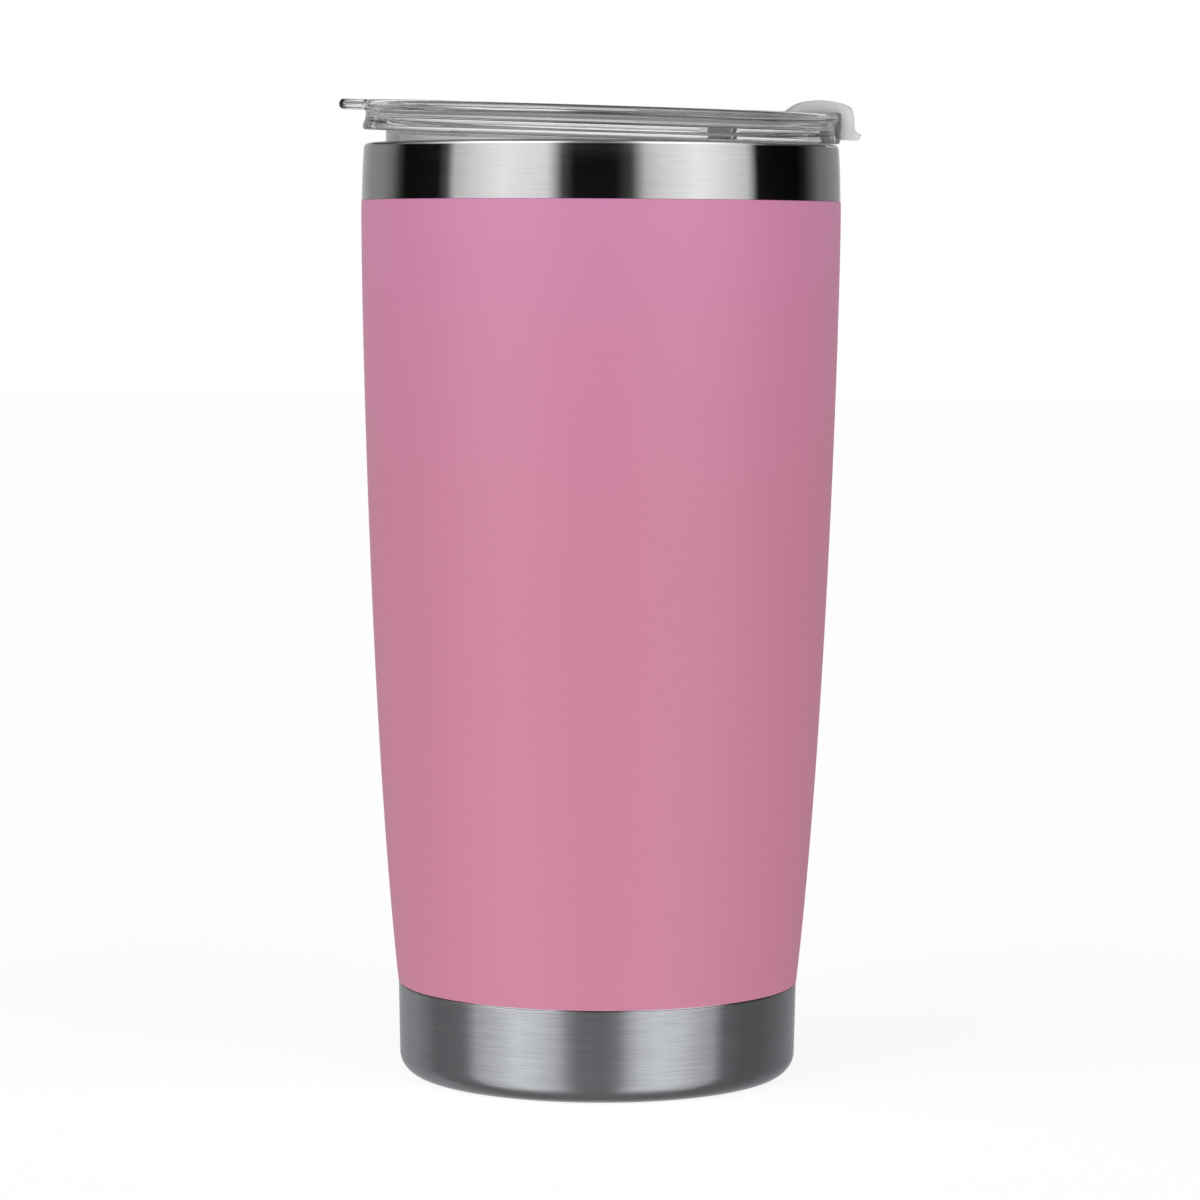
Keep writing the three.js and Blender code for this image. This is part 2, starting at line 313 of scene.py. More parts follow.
def noise(tree, scale, stretch=(1, 1, 1), detail=2.0, roughness=0.5):
    """Noise on the piece's own Object coordinates, in steps of 1 / scale metres; stretch
    multiplies the scale along each axis."""
    coordinates = tree.nodes.new("ShaderNodeTexCoord")
    mapping = node(tree, "ShaderNodeMapping", Scale=stretch)
    link(tree, coordinates.outputs["Object"], mapping.inputs["Vector"])
    made = node(tree, "ShaderNodeTexNoise", Scale=scale, Detail=detail, Roughness=roughness)
    link(tree, mapping.outputs["Vector"], made.inputs["Vector"])
    return made.outputs["Fac"]


def spread(tree, value, low, high):
    """Maps a noise's useful range, 0.3 to 0.7, to low .. high."""
    made = tree.nodes.new("ShaderNodeMapRange")
    link(tree, value, made.inputs["Value"])
    made.inputs["From Min"].default_value = 0.3
    made.inputs["From Max"].default_value = 0.7
    made.inputs["To Min"].default_value = low
    made.inputs["To Max"].default_value = high
    return made.outputs["Result"]


def bump(tree, shader, height, distance, strength=1.0):
    """Tilts the shading normal by a height of a given depth in metres."""
    made = node(tree, "ShaderNodeBump", Strength=strength, Distance=distance)
    link(tree, height, made.inputs["Height"])
    link(tree, made.outputs["Normal"], shader.inputs["Normal"])


# %% Finishing a piece


def finish_piece(piece, material, body, slot, *nodes):
    """Gives a piece its finish and its body, and hides the nodes it stands for. The slot is not
    used.
    """
    piece.data.materials.clear()
    piece.data.materials.append(material)
    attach(piece, body)
    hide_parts(*nodes)
    print(piece.name, len(piece.data.polygons), "faces, rides on", body)


# %% [markdown]
# ## Camera
# A long lens from a little over 0.8 m keeps the sides of the body almost parallel. The camera
# stands a bit lower than the lid and looks down a few degrees, so the foot shows its curve
# and the lid is seen edge on. It leans a quarter of a degree.

# %% Camera
CAMERA_DISTANCE = 829.9
CAMERA_HEIGHT = 150.9
CAMERA_SIDE = 0.15
LOOK_DOWN = 4.39
LEAN = 0.28
LENS = 136.0

camera_data = bpy.data.cameras.new("camera")
camera_data.lens = LENS
camera_data.sensor_width = 36.0
camera_data.clip_start = 0.01
camera = bpy.data.objects.new("camera", camera_data)
camera_turn = turn_about("X", 90 - LOOK_DOWN) @ turn_about("Z", LEAN)
camera_place = Vector((CAMERA_SIDE, -CAMERA_DISTANCE, CAMERA_HEIGHT)) * MM
camera.matrix_world = Matrix.Translation(camera_place) @ camera_turn
bpy.context.scene.collection.objects.link(camera)
bpy.context.scene.camera = camera
print("camera at", [round(x, 4) for x in camera_place])

# %% [markdown]
# ## Light
# Polished and brushed steel show what stands round them. This studio has a tall soft light on
# each side of the camera with a dark gap between them, black cards outside them, and a grey
# sweep at the back. Higher up hang two wide lights that are slightly blue; low down everything
# is dimmer and softer, as on a glossy table. All of it is a world shader: each belt of heights
# has a ramp over the angle round the object, and fades into the next belt.
#
# Two kinds of ray see something else. The camera sees plain white. Light that has come through
# the clear lid meets grey in the dark gap and is dim above the horizon, which draws the grey and
# dark lines of the ring without changing what the steel shows.

# %% Light round the object: (angle, level), 0 at the camera's side, negative to the left
FRONT_BELT = (
    (-180, 0.85), (-165, 0.46), (-147, 0.31), (-129, 0.27), (-120, 0.19), (-113, 0.05),
    (-108, 0.004), (-84, 0.004), (-78.2, 0.10), (-74.2, 0.62), (-62, 0.88), (-47, 1.10),
    (-26, 0.92), (-22.5, 0.56), (-18.5, 0.08), (-13, 0.003), (7, 0.003), (14.5, 0.06),
    (21.5, 0.66), (29, 0.86), (46, 1.14), (58, 1.00), (73, 0.74), (76.5, 0.42), (79.5, 0.004),
    (108, 0.002), (114, 0.015), (121, 0.08), (128, 0.18), (146, 0.27), (162, 0.36), (180, 0.85),
)
LOW_BELT = (
    (-180, 0.50), (-160, 0.32), (-130, 0.27), (-118, 0.22), (-107, 0.15), (-90, 0.165),
    (-84, 0.185), (-80, 0.26), (-74, 0.48), (-60, 0.66), (-47, 0.86), (-35, 0.76),
    (-23, 0.56), (-17, 0.32), (-11, 0.20), (3, 0.18), (12, 0.25), (18, 0.49), (25, 0.70),
    (36, 0.82), (49, 0.75), (62, 0.52), (70, 0.44), (74, 0.29), (78, 0.16), (92, 0.12),
    (110, 0.12), (135, 0.18), (160, 0.28), (180, 0.50),
)
HIGH_BELT = (
    (-180, 0.03), (-130, 0.06), (-100, 0.45), (-72, 1.75), (-28, 1.85), (-15, 0.45), (0, 0.25),
    (12, 0.45), (26, 1.85), (62, 1.40), (92, 0.12), (130, 0.04), (180, 0.03),
)
COOL = (1.0, 0.99, 1.03)
COOL_LOW = (0.98, 1.0, 1.04)
OVERHEAD = 0.12
UNDERNEATH = 0.16

# %% Where the belts fade: heights from -1, straight down, to 1, straight up
UNDERNEATH_TO_LOW = (-0.99, -0.60)
LOW_TO_FRONT = (-0.10, 0.0)
FRONT_TO_HIGH = (0.14, 0.34)
HIGH_TO_OVERHEAD = (0.70, 0.90)
ABOVE_HORIZON = (0.02, 0.10)
GAP_HALF_ANGLE = 12.0
GAP_THROUGH_PLASTIC = 0.45
ABOVE_THROUGH_PLASTIC = 0.22


def belt(tree, turn, bands, tint=(1.0, 1.0, 1.0)):
    """Ramp over the angle round the object; turn runs from 0 to 1 for -180 to 180 degrees."""
    stops = [((degrees + 180) / 360, tuple(level * c for c in tint)) for degrees, level in bands]
    return ramp(tree, turn, stops)


def rising(tree, height, low, high):
    """0 below low and 1 above high; between them t t (3 - 2 t), t being the share of the way."""
    made = tree.nodes.new("ShaderNodeMapRange")
    made.interpolation_type = "SMOOTHSTEP"
    link(tree, height, made.inputs["Value"])
    made.inputs["From Min"].default_value = low
    made.inputs["From Max"].default_value = high
    return made.outputs["Result"]


# %% World shader
world = bpy.data.worlds.new("studio")
bpy.context.scene.world = world
world.use_nodes = True
sky = world.node_tree
sky.nodes.clear()
direction = node(sky, "ShaderNodeTexCoord")
axes = node(sky, "ShaderNodeSeparateXYZ")
link(sky, direction.outputs["Generated"], axes.inputs[0])
height = axes.outputs["Z"]
around = math(sky, "ARCTAN2", axes.outputs["X"], math(sky, "MULTIPLY", axes.outputs["Y"], -1.0))
turn = math(sky, "ADD", math(sky, "DIVIDE", around, 2 * float(np.pi)), 0.5)
low_light = belt(sky, turn, LOW_BELT, COOL_LOW)
front_light = belt(sky, turn, FRONT_BELT)
ray = sky.nodes.new("ShaderNodeLightPath")
off_centre = math(sky, "MULTIPLY", math(sky, "ABSOLUTE", around), 180 / float(np.pi))
in_gap = math(sky, "LESS_THAN", off_centre, GAP_HALF_ANGLE)
through_plastic = ray.outputs["Is Transmission Ray"]
gap_seen = math(sky, "MULTIPLY", in_gap, through_plastic)
front_light = mixed(sky, gap_seen, front_light, (GAP_THROUGH_PLASTIC,) * 3)
high_light = belt(sky, turn, HIGH_BELT, COOL)
light = mixed(sky, rising(sky, height, *UNDERNEATH_TO_LOW), (UNDERNEATH,) * 3, low_light)
light = mixed(sky, rising(sky, height, *LOW_TO_FRONT), light, front_light)
light = mixed(sky, rising(sky, height, *FRONT_TO_HIGH), light, high_light)
light = mixed(sky, rising(sky, height, *HIGH_TO_OVERHEAD), light, (OVERHEAD,) * 3)
above_seen = math(sky, "MULTIPLY", rising(sky, height, *ABOVE_HORIZON), through_plastic)
light = mixed(sky, above_seen, light, (ABOVE_THROUGH_PLASTIC,) * 3)
background = node(sky, "ShaderNodeBackground", Strength=1.0)
seen = mixed(sky, ray.outputs["Is Camera Ray"], light, (1.0, 1.0, 1.0))
link(sky, seen, background.inputs["Color"])
world_out = node(sky, "ShaderNodeOutputWorld")
link(sky, background.outputs[0], world_out.inputs["Surface"])
bpy.context.scene.view_settings.view_transform = "Standard"
bpy.context.scene.view_settings.look = "None"
print("stops in the belts of light:", len(LOW_BELT), len(FRONT_BELT), len(HIGH_BELT))

# %% [markdown]
# ## Floor
# A plain pale floor, wide enough to run out of the picture. It is lit from within as well, so
# that it comes out as white as the background and only darkens a little under the foot. The
# steel doesn't mirror it: the low belt of light already stands for a glossy table.

# %% Floor
FLOOR_HALF = 4.0
floor_corners = [(-1, -1, 0), (1, -1, 0), (1, 1, 0), (-1, 1, 0)]
floor = mesh_object("floor", np.array(floor_corners) * FLOOR_HALF / MM, [(0, 1, 2, 3)])
floor_paint, floor_tree, floor_shader = new_material(
    "pale_floor", Base_Color=(0.30, 0.30, 0.30, 1), Roughness=0.6, Specular_IOR_Level=0.0,
    Emission_Color=(1, 1, 1, 1), Emission_Strength=0.85,
)
floor.data.materials.append(floor_paint)
floor.visible_glossy = False
print("floor", 2 * FLOOR_HALF, "m wide")

# %% [markdown]
# ## Finish: brushed stainless steel
# The bare bands were polished with an abrasive belt while the body turned, so the scratches
# run round it. They are much longer than they are high: noise squeezed along Z gives the
# streaks. Scratches spread a reflection across themselves, here up and down, which is what the
# shader's anisotropy does when its tangent follows the axis. The neck was polished further than
# the base, so it mirrors the studio with hardly a streak.

# %% Brushed steel
STREAKS = (1.0, 1.0, 40.0)
CLOUDS = (1.0, 1.0, 5.0)


def brushed_steel(name, colour, roughness, depth, contrast=0.06):
    """Metal with streaks round Z that vary its tone and roughness and tilt its normal."""
    material, tree, shader = new_material(
        name, Base_Color=(*colour, 1), Metallic=1.0, Roughness=roughness, Anisotropic=0.75,
        Anisotropic_Rotation=0.25,
    )
    fine = noise(tree, 130.0, STREAKS, detail=4.0, roughness=0.65)
    broad = noise(tree, 20.0, STREAKS, detail=2.0)
    cloud = noise(tree, 90.0, CLOUDS, detail=3.0, roughness=0.6)
    streak = spread(tree, fine, 1.0 - contrast, 1.0 + 0.6 * contrast)
    tone = math(tree, "MULTIPLY", streak, spread(tree, cloud, 1.0 - 0.6 * contrast, 1.0))
    shade = mixed(tree, tone, (0.0, 0.0, 0.0), colour)
    link(tree, shade, shader.inputs["Base Color"])
    rough = math(tree, "MULTIPLY", spread(tree, fine, 0.88, 1.14), spread(tree, broad, 0.92, 1.10))
    link(tree, math(tree, "MULTIPLY", rough, roughness), shader.inputs["Roughness"])
    bump(tree, shader, fine, depth, 0.35)
    tangent = tree.nodes.new("ShaderNodeTangent")
    tangent.direction_type = "RADIAL"
    tangent.axis = "Z"
    link(tree, tangent.outputs[0], shader.inputs["Tangent"])
    return material


neck_steel = brushed_steel("brushed_steel_neck", (0.70, 0.70, 0.70), 0.085, 5e-7)
band_steel = brushed_steel("brushed_steel_band", (0.69, 0.695, 0.705), 0.15, 4e-6, 0.13)
liner_steel = brushed_steel("liner_steel", (0.66, 0.66, 0.665), 0.30, 6e-6)
cover_steel = brushed_steel("base_cover_steel", (0.64, 0.64, 0.65), 0.26, 5e-6)
print("steels:", [m.name for m in (neck_steel, band_steel, liner_steel, cover_steel)])

# %% [markdown]
# ## Finish: powder coat
# Powder paint is sprayed dry and melted in an oven. It levels into a satin skin with a very
# fine orange peel, whose small bumps break the highlight up. Its pink hardly varies over the
# wall. Near the neck a lighter, bluer colour fades in with height: painted cool light from above.

# %% Powder coat
PINK = (0.658, 0.240, 0.357)
PINK_SHADE = (0.627, 0.224, 0.337)
# The next colour and its three heights are painted light: a lighter, bluer pink that stands for
# cool light falling on the top of the wall.
PAINTED_COOL_LIGHT = (0.682, 0.260, 0.448)
PAINTED_LIGHT_STARTS = 0.085
PAINTED_LIGHT_FULL = 0.162
PAINTED_LIGHT_CURVE = 2.2
powder_coat, coat_tree, coat_shader = new_material(
    "pink_powder_coat", Roughness=0.38, Specular_IOR_Level=0.6,
)
grain = noise(coat_tree, 2600.0, detail=2.0)
peel = noise(coat_tree, 700.0, detail=3.0, roughness=0.6)
cloud = noise(coat_tree, 25.0, detail=2.0)
speckle = mixed(coat_tree, spread(coat_tree, peel, 0.0, 0.35), PINK, PINK_SHADE)
clouded = mixed(coat_tree, spread(coat_tree, cloud, 0.0, 0.25), speckle, PINK_SHADE)
place = coat_tree.nodes.new("ShaderNodeTexCoord")
place_axes = coat_tree.nodes.new("ShaderNodeSeparateXYZ")
link(coat_tree, place.outputs["Object"], place_axes.inputs[0])
painted_light_height = coat_tree.nodes.new("ShaderNodeMapRange")
link(coat_tree, place_axes.outputs["Z"], painted_light_height.inputs["Value"])
painted_light_height.inputs["From Min"].default_value = PAINTED_LIGHT_STARTS
painted_light_height.inputs["From Max"].default_value = PAINTED_LIGHT_FULL
painted_light_share = math(coat_tree, "POWER", painted_light_height.outputs["Result"], PAINTED_LIGHT_CURVE)
# Painted cool light: the coat's colour turns lighter and bluer with height towards the neck.
pink_with_painted_light = mixed(coat_tree, painted_light_share, clouded, PAINTED_COOL_LIGHT)
link(coat_tree, pink_with_painted_light, coat_shader.inputs["Base Color"])
link(coat_tree, spread(coat_tree, peel, 0.34, 0.42), coat_shader.inputs["Roughness"])
relief = math(coat_tree, "ADD", math(coat_tree, "MULTIPLY", grain, 0.35), peel)
bump(coat_tree, coat_shader, relief, 1.6e-5, 0.5)
print("coat:", powder_coat.name, "with lilac from", PAINTED_LIGHT_STARTS, "m up")

# %% [markdown]
# ## Finish: clear plastic
# The lid is injection moulded in a clear hard plastic such as a styrene copolymer. Light goes
# through it and bends at each face, and the polished mould leaves it glossy. Flow in the mould
# leaves very slight waves in the surface, which a weak bump gives. Edge on, light runs along
# the tray floor and is thrown back and forth inside it, so the renderer must follow each path
# through more reflections than it does by default, or the edge turns black.

# %% Clear plastic
clear_plastic, clear_tree, clear_shader = new_material(
    "clear_plastic", Base_Color=(0.96, 0.965, 0.97, 1), Roughness=0.02, IOR=1.56,
    Transmission_Weight=1.0,
)
waves = noise(clear_tree, 160.0, detail=2.0)
bump(clear_tree, clear_shader, waves, 2e-5, 0.3)
haze = noise(clear_tree, 500.0, detail=2.0)
link(clear_tree, spread(clear_tree, haze, 0.015, 0.05), clear_shader.inputs["Roughness"])

# %% Bounces inside the plastic
cycles = bpy.context.scene.cycles
cycles.max_bounces = 28
cycles.glossy_bounces = 20
cycles.transmission_bounces = 20
print("light is followed through", cycles.max_bounces, "bounces")

# %% [markdown]
# ## Finish: milky soft plastics
# The closure is a soft plastic with a satin skin. Light enters it and scatters, so it glows
# evenly. Subsurface scattering with a little rough transmission gives that. The gasket's
# silicone is made in the same way, but scatters over a shorter distance.

# %% Soft translucent plastic
soft_plastic, soft_tree, soft_shader = new_material(
    "soft_translucent", Roughness=0.45, Subsurface_Weight=1.0, Subsurface_Scale=0.004,
    Subsurface_Radius=(1.0, 1.0, 1.0), IOR=1.48, Transmission_Weight=0.10,
)
milk = noise(soft_tree, 220.0, detail=3.0)
MILK = (0.91, 0.91, 0.91)
MILK_LIGHT = (0.95, 0.95, 0.955)
milk_tone = mixed(soft_tree, spread(soft_tree, milk, 0.0, 1.0), MILK, MILK_LIGHT)
link(soft_tree, milk_tone, soft_shader.inputs["Base Color"])
satin = noise(soft_tree, 3000.0, detail=2.0)
bump(soft_tree, soft_shader, satin, 1e-5, 0.3)

# %% Silicone
silicone, seal_tree, seal_shader = new_material(
    "gasket_silicone", Roughness=0.5, Subsurface_Weight=0.6, Subsurface_Scale=0.002,
    Subsurface_Radius=(1.0, 1.0, 1.0), IOR=1.41, Transmission_Weight=0.2,
)
dust = noise(seal_tree, 900.0, detail=3.0)
SILICONE = (0.74, 0.74, 0.73)
SILICONE_LIGHT = (0.80, 0.80, 0.79)
seal_tone = mixed(seal_tree, spread(seal_tree, dust, 0.0, 1.0), SILICONE, SILICONE_LIGHT)
link(seal_tree, seal_tone, seal_shader.inputs["Base Color"])
bump(seal_tree, seal_shader, dust, 1e-5, 0.3)
print("plastics:", clear_plastic.name, soft_plastic.name, silicone.name)

# %% [markdown]
# ## Body: outer shell and coat
# The shell is a steel tube with a slow barrel taper. Its neck leans in a little, and its top
# edge is rolled in and welded to the liner. The coat lies over it between two masked edges.
# One cubic curve gives the wall, and the neck is a short curve that runs into an arc.

# %% Outer shell
SHEET = 0.5
COAT = 0.10
RIM_ROUND = 0.8
RIM_R = 42.45
SEAM_R = 36.71
NECK_R = 43.65
wall = bezier((SEAM_R, SEAM_Z), (42.26, 67.5), (43.92, 153.0), (NECK_R, COAT_TOP_Z), 96)


def shifted(profile, out):
    """Profile moved outwards by a distance in millimetres."""
    return profile + np.array([out, 0.0])


WELD_R = 41.75
neck = through(
    [(43.61, COAT_TOP_Z + 0.05), (43.58, 162.0), (43.54, 163.8), (43.47, 165.8), (43.38, 167.6),
     (RIM_R + RIM_ROUND, RIM_TOP - RIM_ROUND)], 4,
)
rim_arc = arc(RIM_R, RIM_TOP - RIM_ROUND, RIM_ROUND, 0, 90, 12)
rim_inner = arc(RIM_R, RIM_TOP - RIM_ROUND, RIM_ROUND - SHEET, 90, 0, 8)
shell_profile = joined(
    shifted(wall, -COAT), neck, rim_arc, [(WELD_R, RIM_TOP)], [(WELD_R, RIM_TOP - SHEET)],
    rim_inner, shifted(neck, -SHEET)[::-1], shifted(wall, -COAT - SHEET)[::-1],
)
steel_shell = turned("steel_shell", shell_profile)
finish_piece(steel_shell, neck_steel, "cup", "brushed_steel_band", "outer_shell")

# %% Powder coat on the wall
EDGE = 0.04
coat_profile = joined(
    [(SEAM_R - COAT, SEAM_Z)], [(SEAM_R - EDGE, SEAM_Z)], [(SEAM_R, SEAM_Z + EDGE)],
    wall[1:-1], [(NECK_R, COAT_TOP_Z - EDGE)], [(NECK_R - EDGE, COAT_TOP_Z)],
    [(NECK_R - COAT, COAT_TOP_Z)], shifted(wall, -COAT)[1:-1][::-1],
)
pink_coat = turned("pink_coat", coat_profile)
finish_piece(pink_coat, powder_coat, "cup", "pink_powder_coat", "powder_coat")

# %% [markdown]
# ## Body: base cup
# The shell is closed by a shallow drawn cup. Its side is the bare band below the coat, nearly
# straight, with a fine dark joint under the coat's edge. It turns through a round corner into
# the ring that the tumbler stands on, and the underside is recessed.

# %% Base cup
FOOT_ROUND = 4.0
BAND_LOW_R = 36.38
BAND_TOP_R = 36.64
FOOT_RING_R = 30.2
UNDERSIDE_Z = 2.0
JOINT = 0.28
band_top = SEAM_Z - JOINT
round_r = BAND_LOW_R - FOOT_ROUND
band_side = rounded([
    (BAND_LOW_R, FOOT_ROUND, 0), (BAND_TOP_R, band_top, 0.12), (36.2, band_top, 0.05),
    (36.1, band_top + 1.2, 0.1), (35.7, band_top + 1.2, 0.1), (35.7, FOOT_ROUND, 0),
])
foot_outside = arc(round_r, FOOT_ROUND, FOOT_ROUND, -90, 0, 16)
underside = rounded([
    (1.2, 3.4, 0), (1.9, 3.4, 0.2), (5.0, UNDERSIDE_Z, 0.5), (FOOT_RING_R, UNDERSIDE_Z, 0.4),
    (FOOT_RING_R, 0.0, 0.5), (round_r, 0.0, 0),
])
base_inside = rounded([
    (35.8, FOOT_ROUND, 0), (32.4, 0.6, 1.5), (30.9, 0.6, 0.2), (30.8, 2.6, 0.3), (5.2, 2.6, 0.5),
    (1.9, 4.0, 0.2), (1.2, 4.0, 0),
])
base_band = turned("base_band", joined(underside, foot_outside, band_side, base_inside))
finish_piece(base_band, band_steel, "cup", "brushed_steel_band", "base_cup")

# %% Foot disc
disc_r = FOOT_RING_R - 0.2
disc_under = rounded([
    (0, 1.0, 0), (21.5, 1.0, 0.6), (22.6, 0.6, 0.6), (disc_r - 0.3, 0.6, 0.2), (disc_r, 0.85, 0.1),
    (disc_r, 1.1, 0),
])
disc_over = rounded([(disc_r, 1.1, 0), (23.0, 1.1, 0.6), (21.9, 1.45, 0.6), (0, 1.45, 0)])
foot_disc = turned("foot_disc", joined(disc_under, disc_over))
finish_piece(foot_disc, cover_steel, "cup", "base_cover_steel", "base_cover")

# %% [markdown]
# ## Body: liner
# The inner cup is drawn in one piece. Its mouth is a straight bore for the lid, below a small
# shoulder it tapers to a round bottom corner, and its lip curls out to meet the shell at the
# weld. It shows through the clear lid and when the lid is out.

# %% Liner
MOUTH_R = 40.5
LINER_SHEET = 0.6
CORNER = 9.0
floor_z = LINER_LOW_Z + LINER_SHEET
liner_wall = bezier((30.8, floor_z + CORNER), (34.6, 62.0), (38.2, 122.0), (39.4, 155.5), 48)
corner_r = 30.8 - CORNER
lip_z = RIM_TOP - 1.0
bore = rounded([(39.4, 155.5, 0), (MOUTH_R, 157.5, 0.8), (MOUTH_R, lip_z, 0)])
lip = arc(41.5, lip_z, 1.0, 180, 90, 10)
LIP_END = WELD_R - 0.05
liner_profile = joined(
    [(0, floor_z)], arc(corner_r, floor_z + CORNER, CORNER, -90, 0, 14), liner_wall, bore, lip,
    [(LIP_END, RIM_TOP)], [(LIP_END, RIM_TOP - SHEET)],
    arc(41.5, lip_z, 1.0 - LINER_SHEET, 90, 180, 6), [(MOUTH_R + LINER_SHEET, 157.2)],
    shifted(liner_wall, LINER_SHEET)[::-1],
    arc(corner_r, floor_z + CORNER, CORNER + LINER_SHEET, 0, -90, 14), [(0, LINER_LOW_Z)],
)
liner = turned("liner", liner_profile)
finish_piece(liner, liner_steel, "cup", "liner_steel", "inner_liner")

# %% [markdown]
# ## Lid: clear tray
# The lid is one clear moulding: a tray floor, a ring with two beads and a waist between them,
# a seat that goes over the rim, and a skirt that goes down into the mouth with a groove for
# the gasket. It is turned from one profile, then the thumb tab is joined on and the drinking
# slot, the vent and the hole for the closure's stud are cut through.

# %% Lid profile
RING_R = 43.5
RING_H = 5.5
SEAT_Z = 0.45
FLOOR_TOP_Z = 2.05
TRAY_R = 41.6
GROOVE_R = 38.2
GROOVE_TOP_Z = -3.1
GROOVE_LOW_Z = -7.3
ring_outside = through([
    (43.1, 0.0), (43.4, 0.25), (RING_R, 0.72), (43.34, 1.35), (43.1, 2.05), (43.04, 2.75),
    (43.12, 3.4), (43.4, 3.95), (RING_R, 4.45), (43.45, 5.0), (43.22, 5.38), (42.8, RING_H),
], 5)
ring_inside = rounded([
    (42.8, RING_H, 0), (42.3, RING_H, 0.3), (42.25, 4.55, 0.1), (TRAY_R, 3.85, 0.1),
    (TRAY_R, FLOOR_TOP_Z, 1.0), (0, FLOOR_TOP_Z, 0),
])
lid_under = rounded([
    (0, SEAT_Z, 0), (36.9, SEAT_Z, 0.5), (36.9, -9.0, 0.3), (39.0, -9.0, 0.5),
    (39.1, GROOVE_LOW_Z, 0.15), (GROOVE_R, GROOVE_LOW_Z, 0.1), (GROOVE_R, GROOVE_TOP_Z, 0.1),
    (39.2, GROOVE_TOP_Z, 0.15), (39.25, SEAT_Z, 0.6), (42.8, SEAT_Z, 0.2), (42.95, 0.05, 0.1),
    (43.1, 0.0, 0),
])
lid_tray = turned("lid_tray", joined(lid_under, ring_outside, ring_inside))

# %% [markdown]
# The thumb tab, the cutters, and later the closure with its plug, are prisms: an outline moved
# straight along one direction. Their edges are rounded by drawing the outline in near the ends.
# A Boolean then joins a prism to the tray or cuts it out, and everything is moved from the lid's
# own frame to where the lid sits.

# %% Prisms with rounded edges


def prism(outline, levels, edge, steps=4):
    """Closed prism over an anticlockwise (u, v) outline along w, through the levels given.
    Near its ends the outline moves inwards along its normals by edge (1 - cos t) while w
    moves by edge sin t, so its edges are quarter rounds. Returns points and faces."""
    p = np.asarray(outline, float)
    along = np.roll(p, -1, axis=0) - np.roll(p, 1, axis=0)
    along /= np.linalg.norm(along, axis=1)[:, None]
    outward = np.column_stack([along[:, 1], -along[:, 0]])
    t = np.radians(np.linspace(90, 0, steps + 1))
    inset = edge * (1 - np.cos(t))
    drop = edge * (1 - np.sin(t))
    low, high = levels[0], levels[-1]
    middle = [w for w in levels if low + 1.01 * edge < w < high - 1.01 * edge]
    insets = np.r_[inset, np.zeros(len(middle)), inset[::-1]]
    heights = np.r_[low + drop, middle, high - drop[::-1]]
    rings = p[None] - insets[:, None, None] * outward[None]
    w = np.broadcast_to(heights[:, None, None], (*rings.shape[:2], 1))
    points = np.concatenate([rings, w], -1).reshape(-1, 3)
    count = len(p)
    faces = grid_faces(len(insets), count, False, True).tolist()
    faces.append(list(range(count))[::-1])
    faces.append(list(range((len(insets) - 1) * count, len(insets) * count)))
    return points, faces


def plate(name, outline, low, high, edge):
    """Flat prism over an (x, y) outline, from z = low to z = high."""
    return mesh_object(name, *prism(outline, [low, high], edge))


def oblong(x, width, length, steps=20):
    """Outline with round ends, long across x: two half circles joined by straight sides."""
    r = width / 2
    straight = length / 2 - r
    return np.vstack([
        arc(x, straight, r, 0, 180, steps), arc(x, -straight, r, 180, 360, steps),
    ])


# %% Joining, cutting and placing


def carve(target, tool, operation):
    """Joins a tool to a closed piece, or cuts it away, and keeps only the result."""
    boolean = target.modifiers.new("carve", "BOOLEAN")
    boolean.operation = operation
    boolean.solver = "EXACT"
    boolean.object = tool
    bpy.context.view_layer.update()
    ready = target.evaluated_get(bpy.context.evaluated_depsgraph_get())
    made = bpy.data.meshes.new_from_object(ready)
    target.modifiers.clear()
    old, target.data = target.data, made
    bpy.data.meshes.remove(old)
    bpy.data.objects.remove(tool)


def set_in_lid(obj):
    """Moves a finished piece from the lid's own frame to its place, and shades it again."""
    obj.data.transform(Matrix.Scale(MM, 4) @ lid_frame @ Matrix.Scale(1 / MM, 4))
    shade_smoothly(obj.data)


# %% Thumb tab
TAB_HALF = 7.0
TAB_R = 47.8
TAB_CORNER = 3.0
TAB_THICK = 1.9
ROOT_R = 42.35
root_angle = np.degrees(np.arcsin(TAB_HALF / ROOT_R))
tab_outline = joined(
    arc(-TAB_R + TAB_CORNER, TAB_HALF - TAB_CORNER, TAB_CORNER, 90, 180, 10),
    arc(-TAB_R + TAB_CORNER, -TAB_HALF + TAB_CORNER, TAB_CORNER, 180, 270, 10),
    arc(0, 0, ROOT_R, 180 + root_angle, 180 - root_angle, 12),
)
tab_top = RING_H - 0.03
thumb_tab = plate("thumb_tab", tab_outline, tab_top - TAB_THICK, tab_top, 0.9)
carve(lid_tray, thumb_tab, "UNION")
print("tab reaches", TAB_R, "mm from the axis")

# %% Slot, vent and stud hole
SLOT_R = 33.0
SLOT_W = 7.2
SLOT_L = 15.0
VENT_AT = -33.0
VENT_R = 1.2
STUD_AT = 14.0
STUD_R = 2.25
HOLE_PLAY = 0.3
THROUGH = (-1.5, 4.0)
slot_cut = plate("slot_cut", oblong(SLOT_R, SLOT_W, SLOT_L), *THROUGH, 0.1)
vent_outline = arc(VENT_AT, 0, VENT_R, 5, 365, 24)[:-1]
vent_cut = plate("vent_cut", vent_outline, *THROUGH, 0.1)
stud_outline = arc(STUD_AT, 0, STUD_R + HOLE_PLAY, 3, 363, 40)[:-1]
stud_cut = plate("stud_cut", stud_outline, *THROUGH, 0.1)
for cutter in (slot_cut, vent_cut, stud_cut):
    carve(lid_tray, cutter, "DIFFERENCE")
set_in_lid(lid_tray)
finish_piece(lid_tray, clear_plastic, "lid", "clear_plastic", "lid_shell")

# %% [markdown]
# ## Lid: gasket
# A soft silicone ring with two lips sits in the skirt's groove and wipes the bore. It is a
# turned profile again, placed in the lid's frame.

